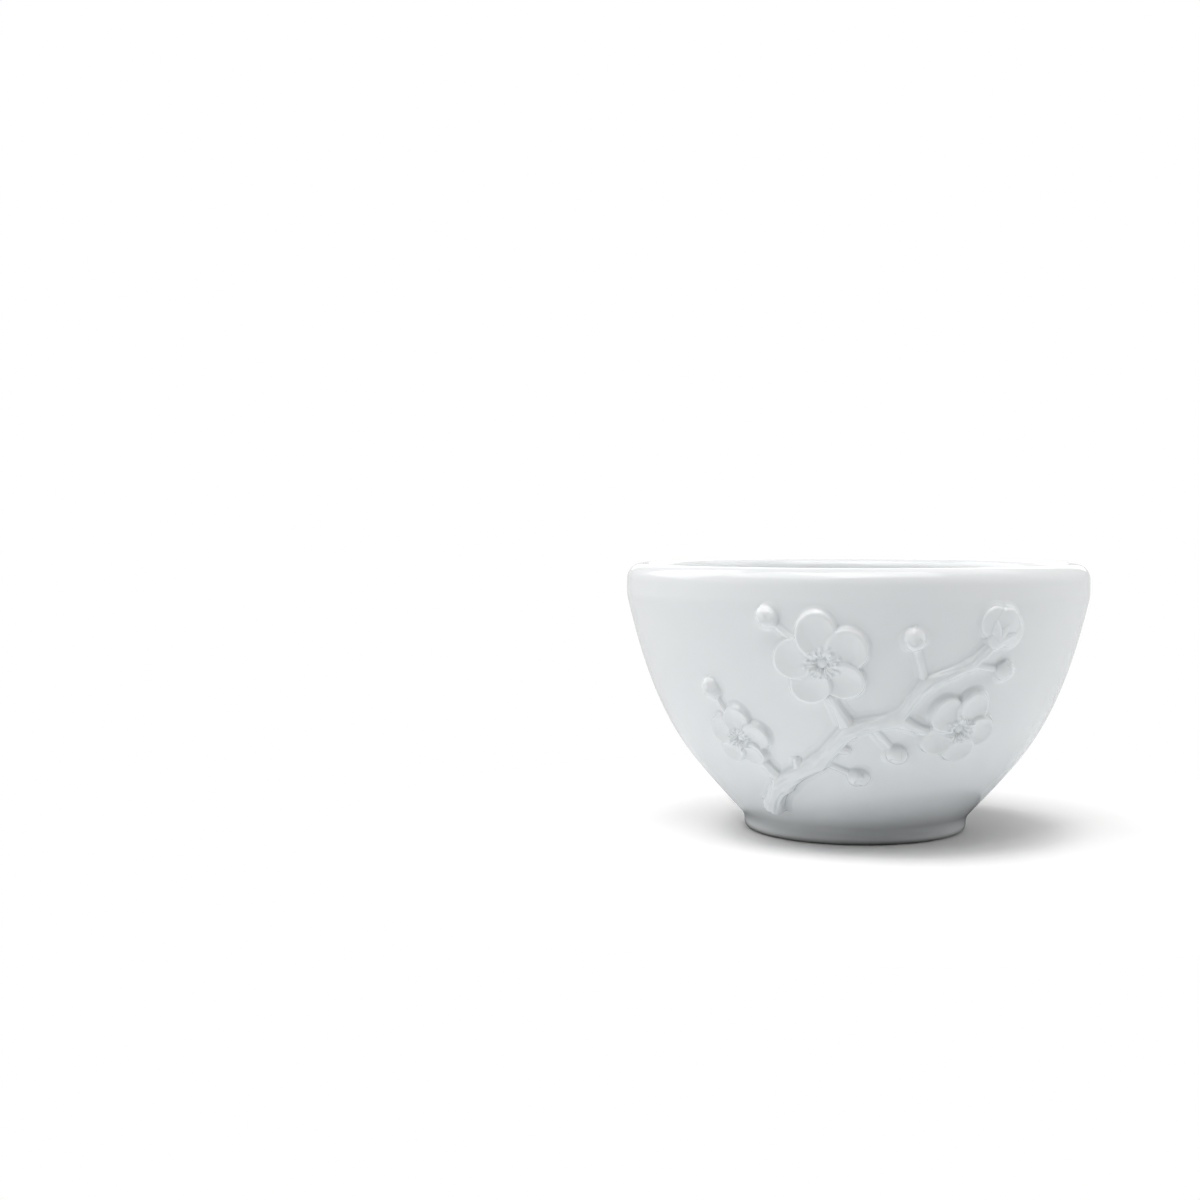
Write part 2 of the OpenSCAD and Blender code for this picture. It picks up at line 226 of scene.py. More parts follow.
class CupSection:
    """The cup's outline, worked out from its sizes. Its points are a radius and a height."""

    # Waves of the cast wall: share, number round the cup, start, and how far each turns per metre up
    WAVES = ((0.5, 2, 0.7, 0), (0.3, 3, -1.1, 60), (0.2, 7, 2, 150))
    WAVES_FULL_FROM = 8 * MM

    def __init__(self, cup):
        self.cup = cup
        self.rim_r = cup.rim_d / 2
        self.lip_outer_r = cup.wall_t * cup.lip_outer_share
        self.lip_inner_r = cup.wall_t * cup.lip_inner_share
        self.band_top_z = cup.cup_h - self.lip_outer_r
        self.band_foot_z = self.band_top_z - cup.band_h
        self.foot_r = cup.foot_d / 2
        self.ring_inner_r = self.foot_r - cup.ring_w
        self.cavity_z = cup.recess_h + cup.floor_t
        self.hollow_turn = pi / 2 - cup.wall_foot_angle
        self.band_turn = pi / 2 - cup.wall_rim_angle
        self.hollow_centre = Vector((self.foot_r + cup.foot_hollow_r, cup.collar_h))
        self.band_centre = Vector((self.rim_r - cup.band_turn_r, self.band_foot_z))
        foot = self.hollow_centre + cup.foot_hollow_r * heading(pi - self.hollow_turn)
        top = self.band_centre + cup.band_turn_r * heading(-self.band_turn)
        chord = (top - foot).length
        self.handles = (
            foot,
            foot + chord * cup.lower_pull_share * heading(cup.wall_foot_angle),
            top - chord * cup.upper_pull_share * heading(cup.wall_rim_angle),
            top,
        )
        self.top_speed = cubic_way(self.handles, 1).length

    def outer_wall(self, t):
        """Point of the outer side, and its direction with the curve's speed as length.
        Past 1 it goes on up the band."""
        if t <= 1:
            return cubic(self.handles, t), cubic_way(self.handles, t)
        past = (t - 1) * self.top_speed
        turned = past / self.cup.band_turn_r
        if turned < self.band_turn:
            at = self.band_turn - turned
            point = self.band_centre + self.cup.band_turn_r * heading(-at)
            return point, self.top_speed * heading(pi / 2 - at)
        upright = past - self.band_turn * self.cup.band_turn_r
        return Vector((self.rim_r, self.band_foot_z + upright)), Vector((0, self.top_speed))

    def inner_wall(self, t):
        """Point of the inner side, one wall thickness in from the outer one."""
        point, way = self.outer_wall(t)
        way.normalize()
        return point + self.cup.wall_t * Vector((-way.y, way.x))

    def under_side(self):
        """From the recess's centre to the foot ring's flat."""
        cup, steps = self.cup, self.cup.arc_steps
        corner_r = cup.recess_h * cup.recess_corner_share
        corner = Vector((self.ring_inner_r - corner_r, cup.recess_h - corner_r))
        edge = Vector((self.ring_inner_r + cup.foot_edge_r, cup.foot_edge_r))
        return (
            [Vector((corner.x * i / steps, cup.recess_h)) for i in range(steps)]
            + arc(corner, corner_r, pi / 2, 0, steps)
            + arc(edge, cup.foot_edge_r, pi, 1.5 * pi, steps)
        )

    def outer_side(self):
        """From the foot ring's flat to the top of the rim."""
        cup, steps = self.cup, self.cup.arc_steps
        edge = Vector((self.foot_r - cup.foot_edge_r, cup.foot_edge_r))
        lip = Vector((self.rim_r - self.lip_outer_r, self.band_top_z))
        wall = [self.outer_wall(i / cup.wall_steps)[0] for i in range(1, cup.wall_steps)]
        return (
            arc(edge, cup.foot_edge_r, -pi / 2, 0, steps)
            + arc(self.hollow_centre, cup.foot_hollow_r, pi, pi - self.hollow_turn, steps)
            + wall
            + arc(self.band_centre, cup.band_turn_r, -self.band_turn, 0, steps)
            + arc(lip, self.lip_outer_r, 0, pi / 2, steps)
        )

    def inner_side(self):
        """From the rim down to the cavity's centre."""
        cup, steps = self.cup, self.cup.arc_steps
        lip = Vector((self.rim_r - cup.wall_t + self.lip_inner_r, cup.cup_h - self.lip_inner_r))
        first = round(cup.wall_steps * cup.inner_start_share) + 1
        wall = [self.inner_wall(i / cup.wall_steps) for i in range(cup.wall_steps, first - 1, -1)]
        foot = self.inner_wall(cup.inner_start_share)
        way = self.outer_wall(cup.inner_start_share)[1]
        lean = atan2(way.y, way.x)
        curve_r = (foot.y - self.cavity_z) / (1 - cos(lean))
        centre = foot + curve_r * heading(lean + pi / 2)
        floor = [Vector((centre.x * (1 - i / steps), self.cavity_z)) for i in range(1, steps + 1)]
        return (
            arc(lip, self.lip_inner_r, pi / 2, pi, steps)
            + wall
            + arc(centre, curve_r, lean - pi / 2, -pi / 2, steps)
            + floor
        )

    def stray(self, turn, height):
        """How far the cast wall strays outwards, at an angle from the front line and a height."""
        waves = sum(
            part * sin(count * turn + start + rise * height) for part, count, start, rise in self.WAVES
        )
        return self.cup.unevenness * waves * smooth_step(0, self.WAVES_FULL_FROM, height)


class Wall:
    """The cup's outer face. A place on it is an angle from the front line and a share of the way up."""

    def __init__(self, cup):
        self.section = CupSection(cup)

    def spot(self, turn, up, lift=0.0):
        """Point lifted off the wall."""
        side, way = self.section.outer_wall(up)
        way.normalize()
        r = side.x + way.y * lift + self.section.stray(turn, side.y)
        return Vector((r * sin(turn), -r * cos(turn), side.y - way.x * lift))

    def beside(self, turn, up, right, over):
        """Place moved over the wall by lengths to the right and up."""
        new_up = up + over / self.section.outer_wall(up)[1].length
        return turn + right / self.section.outer_wall(new_up)[0].x, new_up


# Length over which a bend is measured, and how often the result is smoothed
POOL_AND_SHADE_REACH = 0.4 * MM
POOL_AND_SHADE_PASSES = 4
SHORTEST_SQUARED = 1e-14
# Points closer than the first are merged, and edges shorter than the second are taken out
SAME_POINT = 0.0005 * MM
NO_EDGE = 0.0002 * MM


def set_pool_and_shade_layer(bm):
    """Stores how hollow the surface is at each point, so that the glaze gathers there and the hollows get
    painted shade.
    """
    layer = bm.verts.layers.float.new("pool")
    bm.normal_update()
    bm.verts.ensure_lookup_table()
    around = [[edge.other_vert(vert).index for edge in vert.link_edges] for vert in bm.verts]
    hollow = []
    for vert in bm.verts:
        bend = 0
        for edge in vert.link_edges:
            away = edge.other_vert(vert).co - vert.co
            bend += away.dot(vert.normal) / max(away.length_squared, SHORTEST_SQUARED)
        hollow.append(min(max(2 * bend / max(len(vert.link_edges), 1) * POOL_AND_SHADE_REACH, 0), 1))
    for _ in range(POOL_AND_SHADE_PASSES):
        hollow = [
            (hollow[i] + sum(hollow[j] for j in near)) / (1 + len(near))
            for i, near in enumerate(around)
        ]
    for vert, value in zip(bm.verts, hollow):
        vert[layer] = value


def finished_piece(bm, name, nodes, material):
    """Makes an object of a closed mesh, with the faces outwards, and seats it in the frame."""
    bmesh.ops.remove_doubles(bm, verts=bm.verts, dist=SAME_POINT)
    bmesh.ops.dissolve_degenerate(bm, edges=bm.edges, dist=NO_EDGE)
    bmesh.ops.recalc_face_normals(bm, faces=bm.faces)
    bm.verts.index_update()
    set_pool_and_shade_layer(bm)
    for face in bm.faces:
        face.smooth = True
    mesh = bpy.data.meshes.new(name)
    bm.to_mesh(mesh)
    bm.free()
    mesh.materials.append(material)
    piece = bpy.data.objects.new(name, mesh)
    bpy.context.scene.collection.objects.link(piece)
    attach(piece, "root")
    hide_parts(*nodes)


def finished_relief(context, bm, name, node):
    """Does the same for a piece of the relief."""
    finished_piece(bm, name, [node], relief_glaze(context))


def sheet_of(bm, along, across, place):
    """Adds a grid whose every point is moved by place, which takes two shares from 0 to 1."""
    made = bmesh.ops.create_grid(bm, x_segments=along, y_segments=across, size=0.5)
    for vert in made["verts"]:
        vert.co = place(vert.co.x + 0.5, vert.co.y + 0.5)


class EGGCUP_OT_body(bpy.types.Operator):
    """Turn the cup's outline into the bowl, its rim and its foot ring"""

    bl_idname = "egg_cup.body"
    bl_label = "Cup Body"
    # Points closer to the axis stay where they are
    AXIS_R = 1 * MM

    def execute(self, context):
        cup = context.scene.egg_cup
        section = CupSection(cup)
        bm = bmesh.new()
        points = section.under_side() + section.outer_side() + section.inner_side()
        chain = [bm.verts.new((point.x, 0, point.y)) for point in points]
        edges = [bm.edges.new(pair) for pair in zip(chain, chain[1:])]
        bmesh.ops.spin(
            bm, geom=chain + edges, cent=(0, 0, 0), axis=(0, 0, 1), dvec=(0, 0, 0),
            angle=FULL_TURN, steps=cup.turn_steps, use_merge=True,
        )
        for vert in bm.verts:
            r = hypot(vert.co.x, vert.co.y)
            if r > self.AXIS_R:
                turn = atan2(vert.co.x, -vert.co.y)
                grown = 1 + section.stray(turn, vert.co.z) * smooth_step(0, section.foot_r, r) / r
                vert.co.x *= grown
                vert.co.y *= grown
        finished_piece(bm, "porcelain_cup", ["cup_body"], cup_glaze(context))
        return {"FINISHED"}


def smooth_place(places, at, stiffness=0.75):
    """Place on a smooth line through a list of places, at a number that counts them from 0."""
    last = len(places) - 1
    i = min(int(at), last - 1)
    t = at - i
    p = [Vector(places[min(max(k, 0), last)]) for k in range(i - 1, i + 3)]
    if i == 0:
        p[0] = 2 * p[1] - p[2]
    if i == last - 1:
        p[3] = 2 * p[2] - p[1]
    m1, m2 = (p[2] - p[0]) * stiffness / 2, (p[3] - p[1]) * stiffness / 2
    t2, t3 = t * t, t * t * t
    return (2 * t3 - 3 * t2 + 1) * p[1] + (t3 - 2 * t2 + t) * m1 + (3 * t2 - 2 * t3) * p[2] + (t3 - t2) * m2


# Fillet at a coil's foot: its share of the rows on a side, its toe's reach and its curve's pulls in fillets
FILLET_ROWS = 0.2
TOE_REACH = 0.9
TOP_PULL, TOE_PULL = 0.5, (-1.1, 0.15)
# Share of a side's other rows over which the bark sets in
BARK_SETS_IN = 0.35


def coil_section(r, fillet, v):
    """Across and up, on the section of a round coil pressed on a wall, for v from 0 to 1 over its top.
    Also how much the coil's own face, and not the fillet, is there, and the angle round the coil."""
    lean = asin(fillet / (r + fillet)) if r > 0 else pi / 2
    foot_x = sqrt(r * r + 2 * r * fillet)
    side = 1 if v < 0.5 else -1
    u = v if v < 0.5 else 1 - v
    if u < FILLET_ROWS:
        k = 1 - u / FILLET_ROWS
        start = r * heading(lean)
        down = Vector((sin(lean), -cos(lean)))
        toe = Vector((foot_x + TOE_REACH * fillet, 0))
        curve = (start, start + TOP_PULL * fillet * down, toe + fillet * Vector(TOE_PULL), toe)
        point = cubic(curve, k)
        return side * point.x, point.y, 0, lean if side > 0 else pi - lean
    k = (u - FILLET_ROWS) / (0.5 - FILLET_ROWS)
    at = lean + (pi / 2 - lean) * k
    face = smooth_step(0, BARK_SETS_IN, k)
    point = r * heading(at)
    return side * point.x, point.y, face, at if side > 0 else pi - at


class Limb:
    """A coil of clay pressed along a line on the wall: a branch, a twig, or a bud on its stem."""

    BACK_ROWS = 4
    # Length over which the line's direction is taken
    TURN_REACH = 1.3 * MM
    # A coil thinner than this many fillets has a smaller fillet
    THIN = 0.5
    # Part of the back's rows over which it goes from side to side
    BACK_SPAN = (0.1, 0.9)

    def __init__(self, wall, relief, places, steps_each, hidden_start, hidden_end):
        self.wall, self.relief = wall, relief
        count = (len(places) - 1) * steps_each
        line = [smooth_place(places, i / steps_each) for i in range(count + 1)]
        spots = [wall.spot(*place) for place in line]
        run = [0.0]
        for a, b in zip(spots, spots[1:]):
            run.append(run[-1] + (b - a).length)
        kept = [i for i, at in enumerate(run) if hidden_start <= at <= run[-1] - hidden_end]
        first = run[kept[0]]
        self.places = [line[i] for i in kept]
        self.run = [run[i] - first for i in kept]
        self.knots = [run[i * steps_each] - first for i in range(len(places))]
        span = max(1, round(self.TURN_REACH * count / run[-1]))
        self.ways = []
        for i in kept:
            turn, up = line[i]
            ahead = spots[min(i + span, count)] - spots[max(i - span, 0)]
            way = self.wall.section.outer_wall(up)[1].normalized()
            right = Vector((cos(turn), sin(turn), 0))
            over = Vector((way.x * sin(turn), -way.x * cos(turn), way.y))
            self.ways.append(Vector((ahead.dot(right), ahead.dot(over))).normalized())

    @property
    def length(self):
        return self.run[-1]

    def press(self, bm, across, radius, grain):
        """Adds the coil. radius takes the run in metres, and grain the angle round it and the run."""
        relief, count = self.relief, len(self.places) - 1
        top = across - self.BACK_ROWS
        radii = [max(radius(run), 0) for run in self.run]

        def place(s, v):
            i = min(round(s * count), count)
            row = round(v * across)
            r, (turn, up), way = radii[i], self.places[i], self.ways[i]
            fillet = relief.fillet * min(1, r / (self.THIN * relief.fillet))
            if row <= top:
                x, lift, face, at = coil_section(r, fillet, row / top)
                reach = 1 + face * grain(at, self.run[i])
                x, lift = x * reach, lift * reach - relief.sink
            else:
                edge = coil_section(r, fillet, 0)[0]
                k = (row - top) / self.BACK_ROWS
                x = -edge * (1 - 2 * smooth_step(*self.BACK_SPAN, k))
                lift = -relief.back_t * min(1, r / relief.fillet) * (1 if 0 < k < 1 else 0) - relief.sink
            return self.wall.spot(*self.wall.beside(turn, up, way.y * x, -way.x * x), lift)

        sheet_of(bm, count, across, place)


def rounded_end(run, r, squareness=2.0):
    """Share of a coil's radius at a distance from its end: round, or blunter if squareness is higher."""
    k = min(max(run / r, 0), 1)
    return (1 - (1 - k) ** squareness) ** (1 / squareness)


# Where a coil starts in another one, it is as thick as it would be this many radii past its end
JOIN_DEPTH = 0.2


def joined_end(run, r, reach=1.1):
    """Share of a coil's radius at a distance from its start in another coil, rounded over reach radii."""
    return rounded_end(run + JOIN_DEPTH * r, reach * r)


def bark(depth, seed):
    """Grain of old wood: long furrows, and slower hollows and swellings."""
    swell_round, swell_length, swell_share = 1.6, 2.6 * MM, 1.3
    furrow_round, furrow_length, furrow_share = 4.5, 2.2 * MM, 0.9

    def grain(at, run):
        swell = Vector((swell_round * cos(at), swell_round * sin(at) + seed, run / swell_length))
        furrow = Vector((furrow_round * cos(at) - seed, furrow_round * sin(at), run / furrow_length))
        return depth * (swell_share * noise.noise(swell) + furrow_share * noise.noise(furrow))

    return grain


class PlumBranch:
    """Places on the branch: a share of the relief's reach to the right, and one of the way up."""

    MAIN_SHARES = (
        (-0.86, 0.12), (-0.6, 0.31), (-0.26, 0.46), (-0.03, 0.62),
        (0.26, 0.67), (0.43, 0.79), (0.69, 0.85), (0.84, 0.92),
    )
    TWIG_SHARES = {
        "upper_twig": ((-0.03, 0.62), (-0.14, 0.75), (-0.19, 0.86)),
        "left_twig": ((-0.6, 0.31), (-0.7, 0.42), (-0.84, 0.56)),
        "right_twig": ((0.26, 0.67), (0.49, 0.61), (0.71, 0.62)),
    }
    # Each open blossom: its middle, the name of its width, and how far its first petal is turned
    BLOSSOMS = {
        "large_blossom": ((-0.19, 0.86), "large_blossom_d", radians(100)),
        "middle_blossom": ((0.71, 0.62), "middle_blossom_d", radians(64)),
        "small_blossom": ((-0.84, 0.56), "small_blossom_d", radians(82)),
    }
    OPENING_SHARE = (0.84, 0.92)
    OPENING_SPIN = radians(62)
    # Each bud: where its stem starts, and its own middle
    BUD_SHARES = (
        ((-0.19, 0.86), (-0.49, 0.975)),
        ((-0.84, 0.56), (-0.97, 0.75)),
        ((-0.26, 0.46), (0.03, 0.37)),
        ((0.1, 0.64), (0.3, 0.5)),
        ((0.43, 0.79), (0.34, 0.92)),
        ((0.69, 0.85), (0.95, 0.83)),
    )
    # How much of a coil is left out below a blossom, of the blossom's width
    HIDDEN_SHARE = 0.34

    def __init__(self, context):
        self.relief = context.scene.egg_cup_relief
        self.wall = Wall(context.scene.egg_cup)

    def place(self, shares):
        """Angle from the front line, and share of the way up."""
        return shares[0] * self.relief.sprig_turn, shares[1]

    def hidden_length(self, shares):
        """How much of a coil that ends in the middle of a blossom is left out below it."""
        widths = [width for middle, width, _ in self.BLOSSOMS.values() if middle == shares]
        return self.HIDDEN_SHARE * getattr(self.relief, widths[0]) if widths else 0

    def limb(self, shares, steps_each):
        """Coil through some places."""
        hidden = self.hidden_length(shares[0]), self.hidden_length(shares[-1])
        return Limb(self.wall, self.relief, [self.place(pair) for pair in shares], steps_each, *hidden)


class EGGCUP_OT_main_branch(bpy.types.Operator):
    """Press the gnarled main branch onto the wall"""

    bl_idname = "egg_cup.main_branch"
    bl_label = "Main Branch"

    # Short spurs left by older twigs: where they start on the branch, and where they end
    SPUR_SHARES = (
        ((-0.42, 0.39), (-0.43, 0.475)),
        ((-0.15, 0.54), (-0.02, 0.515)),
    )
    STEPS, ROWS = 44, 44
    SPUR_STEPS, SPUR_ROWS = 20, 32
    BARK_DEPTH, SPUR_BARK_DEPTH = 0.13, 0.12
    SEED, FIRST_SPUR_SEED = 3, 10
    # Share of the radius that stays between the knots, a knot's growth and width, and the slow change
    PLAIN, KNOT, KNOT_WIDTH, CHANGE = 0.96, 0.2, 0.8, 0.05
    CHANGE_LENGTH = 3 * MM
    # Radii over which the start rounds off, and how blunt it is
    START_REACH, START_SQUARENESS = 0.5, 2.6
    # A spur's radius at its start and its taper, in a twig's widths, and how blunt its broken end is
    SPUR_SHARE, SPUR_TAPER, SPUR_SQUARENESS = 0.62, 0.32, 2.4

    def execute(self, context):
        branch = PlumBranch(context)
        relief = branch.relief
        bm = bmesh.new()
        limb = branch.limb(branch.MAIN_SHARES, self.STEPS)

        def radius(run):
            k = run / limb.length
            r = (relief.branch_d * (1 - k) + relief.branch_tip_d * k) / 2
            knots = sum(bump(run - knot, self.KNOT_WIDTH * r) for knot in limb.knots)
            change = noise.noise(Vector((run / self.CHANGE_LENGTH, 0.5, 0)))
            r *= self.PLAIN + self.KNOT * knots + self.CHANGE * change
            start = rounded_end(run, self.START_REACH * r, self.START_SQUARENESS)
            return r * start * rounded_end(limb.length - run, r)

        limb.press(bm, self.ROWS, radius, bark(self.BARK_DEPTH, self.SEED))
        for number, shares in enumerate(self.SPUR_SHARES):
            spur = branch.limb(shares, self.SPUR_STEPS)

            def spur_radius(run, spur=spur):
                k = run / spur.length
                r = relief.twig_d * (self.SPUR_SHARE - self.SPUR_TAPER * k)
                return r * joined_end(run, r) * rounded_end(spur.length - run, r, self.SPUR_SQUARENESS)

            grain = bark(self.SPUR_BARK_DEPTH, self.FIRST_SPUR_SEED + number)
            spur.press(bm, self.SPUR_ROWS, spur_radius, grain)
        finished_relief(context, bm, "branch", "main_branch")
        return {"FINISHED"}


class EGGCUP_OT_twigs(bpy.types.Operator):
    """Press the side twigs onto the wall"""

    bl_idname = "egg_cup.twigs"
    bl_label = "Twigs"
    STEPS, ROWS = 44, 36
    BARK_DEPTH, FIRST_SEED = 0.09, 20
    # Growth of the knot, and growth and width of the collar at the start, in the radius
    KNOT, COLLAR, COLLAR_WIDTH = 0.2, 0.35, 2.2

    def execute(self, context):
        branch = PlumBranch(context)
        relief = branch.relief
        for number, (node, shares) in enumerate(branch.TWIG_SHARES.items()):
            bm = bmesh.new()
            limb = branch.limb(shares, self.STEPS)

            def radius(run, limb=limb):
                k = run / limb.length
                r = (relief.twig_d * (1 - k) + relief.twig_tip_d * k) / 2
                grown = 1 + self.KNOT * bump(run - limb.knots[1], r)
                grown += self.COLLAR * bump(run, self.COLLAR_WIDTH * r)
                r *= joined_end(run, r)
                return r * grown * rounded_end(limb.length - run, r)

            limb.press(bm, self.ROWS, radius, bark(self.BARK_DEPTH, self.FIRST_SEED + number))
            finished_relief(context, bm, node.replace("_twig", "_side_twig"), node)
        return {"FINISHED"}


# Share of a petal's radius where its veins start, and from where they are as deep as they get
VEINS_START = (0.1, 0.5)


def veins(depth, count, root, along, across, q):
    """Veins that fan out over a petal from a root behind its middle, count of them to a full turn."""
    return depth * cos(count * atan2(across, along + root)) * smooth_step(*VEINS_START, q)


def edge_drop(depth, start, width, q):
    """Fall of a face past a start, as deep as depth after a width."""
    return depth * (max(q - start, 0) / width) ** 2


class OpenBlossom:
    """Height of an open plum blossom over its plane.
    Places are in shares of its width, and heights in shares of a petal's."""

    PETALS = 5
    REACH, PETAL_R = 0.29, 0.215
    # Radius of a petal at the border, of its own, and how softly the petals join there
    BORDER, BORDER_SOFTNESS = 0.965, 0.012
    # A petal: height of its middle, rise to its edge, tilt, crinkles, veins, and fall of its edge
    MIDDLE_H, BOWL_H, TILT = 0.5, 0.42, 0.13
    CRINKLE_H, CRINKLES = 0.035, 14
    VEINS = (0.016, 11, 0.27)
    EDGE = (0.26, 0.84, 0.16)
    # Height of the ground between the petals, how softly they rise from it, and the hollow in the middle
    GROUND_H, SOFTNESS = 0.25, 0.028
    HOLLOW_H, HOLLOW_R = 0.16, 0.11
    PISTIL_H, PISTIL_R, PISTIL_FULLNESS = 0.46, 0.062, 0.6
    # Stamens: how far the first is turned, how far each strays from even steps, and their reach
    STAMENS, FIRST_TURN, STRAY = 15, 0.3, 0.35
    STAMEN_REACH, REACH_STRAY, REACH_STEPS = 0.158, 0.03, (-0.012, 0.016)
    THREAD_H, THREAD_W, THREAD_STARTS, THREAD_END = 0.13, 0.0085, (0.03, 0.06), 0.01
    TIP_H, TIP_R = 0.3, 0.0175
    # Further away from the middle, and from a stamen's line, there is nothing of the stamens
    STAMENS_WITHIN, STAMEN_WITHIN = 0.24, 0.05

    def __init__(self, spin, seed):
        self.seed = seed
        self.turns = [spin + FULL_TURN * i / self.PETALS for i in range(self.PETALS)]
        self.stamens = []
        # Each strays as the noise does at a place of its own
        for i in range(self.STAMENS):
            step = i + self.STRAY * noise.noise(Vector((i * 1.7, seed, 0.3)))
            turn = spin + self.FIRST_TURN + FULL_TURN * step / self.STAMENS
            reach = self.STAMEN_REACH + self.REACH_STRAY * noise.noise(Vector((i * 2.3, seed, 5.1)))
            self.stamens.append((turn, reach + self.REACH_STEPS[i % 2]))

    def outline(self, turn):
        """Distance from the centre to the border of the joined petals."""
        ends = []
        r = self.BORDER * self.PETAL_R
        for petal in self.turns:
            along = self.REACH * cos(turn - petal)
            inside = r * r - (self.REACH * sin(turn - petal)) ** 2
            if inside > 0 and along > 0:
                ends.append(along + sqrt(inside))
        return soft_max(ends, self.BORDER_SOFTNESS)

    def petal(self, x, y, number):
        """Height of one petal."""
        turn = self.turns[number]
        dx, dy = x - self.REACH * cos(turn), y - self.REACH * sin(turn)
        along = dx * cos(turn) + dy * sin(turn)
        across = dy * cos(turn) - dx * sin(turn)
        q = hypot(along, across) / self.PETAL_R
        place = Vector((along * self.CRINKLES, across * self.CRINKLES, self.seed + number))
        h = self.MIDDLE_H + self.BOWL_H * q * q + self.TILT * across / self.PETAL_R
        h += self.CRINKLE_H * noise.noise(place) * q
        return h + veins(*self.VEINS, along, across, q) - edge_drop(*self.EDGE, q)

    def height(self, x, y):
        """Height of the petals, with the stamens and the pistil on them."""
        petals = [self.petal(x, y, i) for i in range(self.PETALS)]
        h = soft_max((*petals, self.GROUND_H), self.SOFTNESS)
        r = hypot(x, y)
        h -= self.HOLLOW_H * bump(r, self.HOLLOW_R)
        if r < self.STAMENS_WITHIN:
            h += self.stamen_height(x, y, r)
        return h

    def stamen_height(self, x, y, r):
        """Height of the pistil or of the highest stamen."""
        added = self.PISTIL_H * max(1 - (r / self.PISTIL_R) ** 2, 0) ** self.PISTIL_FULLNESS
        for turn, reach in self.stamens:
            along = x * cos(turn) + y * sin(turn)
            across = y * cos(turn) - x * sin(turn)
            if along <= 0 or abs(across) > self.STAMEN_WITHIN:
                continue
            thread = self.THREAD_H * bump(across, self.THREAD_W) * smooth_step(*self.THREAD_STARTS, along)
            thread *= 1 - smooth_step(reach - self.THREAD_END, reach + self.THREAD_END, along)
            tip = self.TIP_H * bump(hypot(across, along - reach), self.TIP_R)
            added = max(added, thread, tip)
        return added


def edge_profile(height, width, k):
    """Out and up on a petal's rounded edge and the fillet below it, for k from 0 to 1."""
    top_out, top_up, toe_out, toe_up = 0.3, 0.78, 0.16, 0.1
    curve = (
        Vector((0, height)), Vector((top_out * width, top_up * height)),
        Vector((toe_out * width, toe_up * width)), Vector((width, 0)),
    )
    return cubic(curve, k)


# Shares of a flower's rings on its face and on its edge, and the edge's width in fillets
FACE_RINGS, EDGE_RINGS = 0.78, 0.17
EDGE_W = 1.7
# Part of the back's rings over which it closes
BACK_CLOSES = (0.15, 1)


def press_flower(bm, branch, place, spread, flower, around, rings):
    """Adds a flower as a closed disc on the wall. Its outline and its places are in shares of spread,
    and its heights in shares of a petal's."""
    wall, relief = branch.wall, branch.relief
    face_rings = round(rings * FACE_RINGS)
    edge_rings = round(rings * EDGE_RINGS)
    edge_w = EDGE_W * relief.fillet
    turn, up = place

    def spot(u, v):
        ring = round(u * rings)
        angle_at = FULL_TURN * round(v * around) / around
        way = heading(angle_at)
        rim = flower.outline(angle_at)
        if ring <= face_rings:
            r = rim * ring / face_rings
            out, lift = r * spread, flower.height(r * way.x, r * way.y) * relief.petal_h
        elif ring <= face_rings + edge_rings:
            edge_h = flower.height(rim * way.x, rim * way.y) * relief.petal_h
            point = edge_profile(edge_h, edge_w, (ring - face_rings) / edge_rings)
            out, lift = rim * spread + point.x, point.y
        else:
            k = (ring - face_rings - edge_rings) / (rings - face_rings - edge_rings)
            out = (rim * spread + edge_w) * (1 - smooth_step(*BACK_CLOSES, k))
            lift = -relief.back_t
        return wall.spot(*wall.beside(turn, up, out * way.x, out * way.y), lift - relief.sink)

    sheet_of(bm, rings, around, spot)


class EGGCUP_OT_blossoms(bpy.types.Operator):
    """Press the three open blossoms onto the wall"""

    bl_idname = "egg_cup.blossoms"
    bl_label = "Open Blossoms"
    AROUND, RINGS = 340, 110
    SEED_STEP = 7

    def execute(self, context):
        branch = PlumBranch(context)
        for number, (node, (shares, width, spin)) in enumerate(branch.BLOSSOMS.items()):
            bm = bmesh.new()
            flower = OpenBlossom(spin, self.SEED_STEP * number)
            spread = getattr(branch.relief, width)
            press_flower(bm, branch, branch.place(shares), spread, flower, self.AROUND, self.RINGS)
            finished_relief(context, bm, "open_" + node, node)
        return {"FINISHED"}


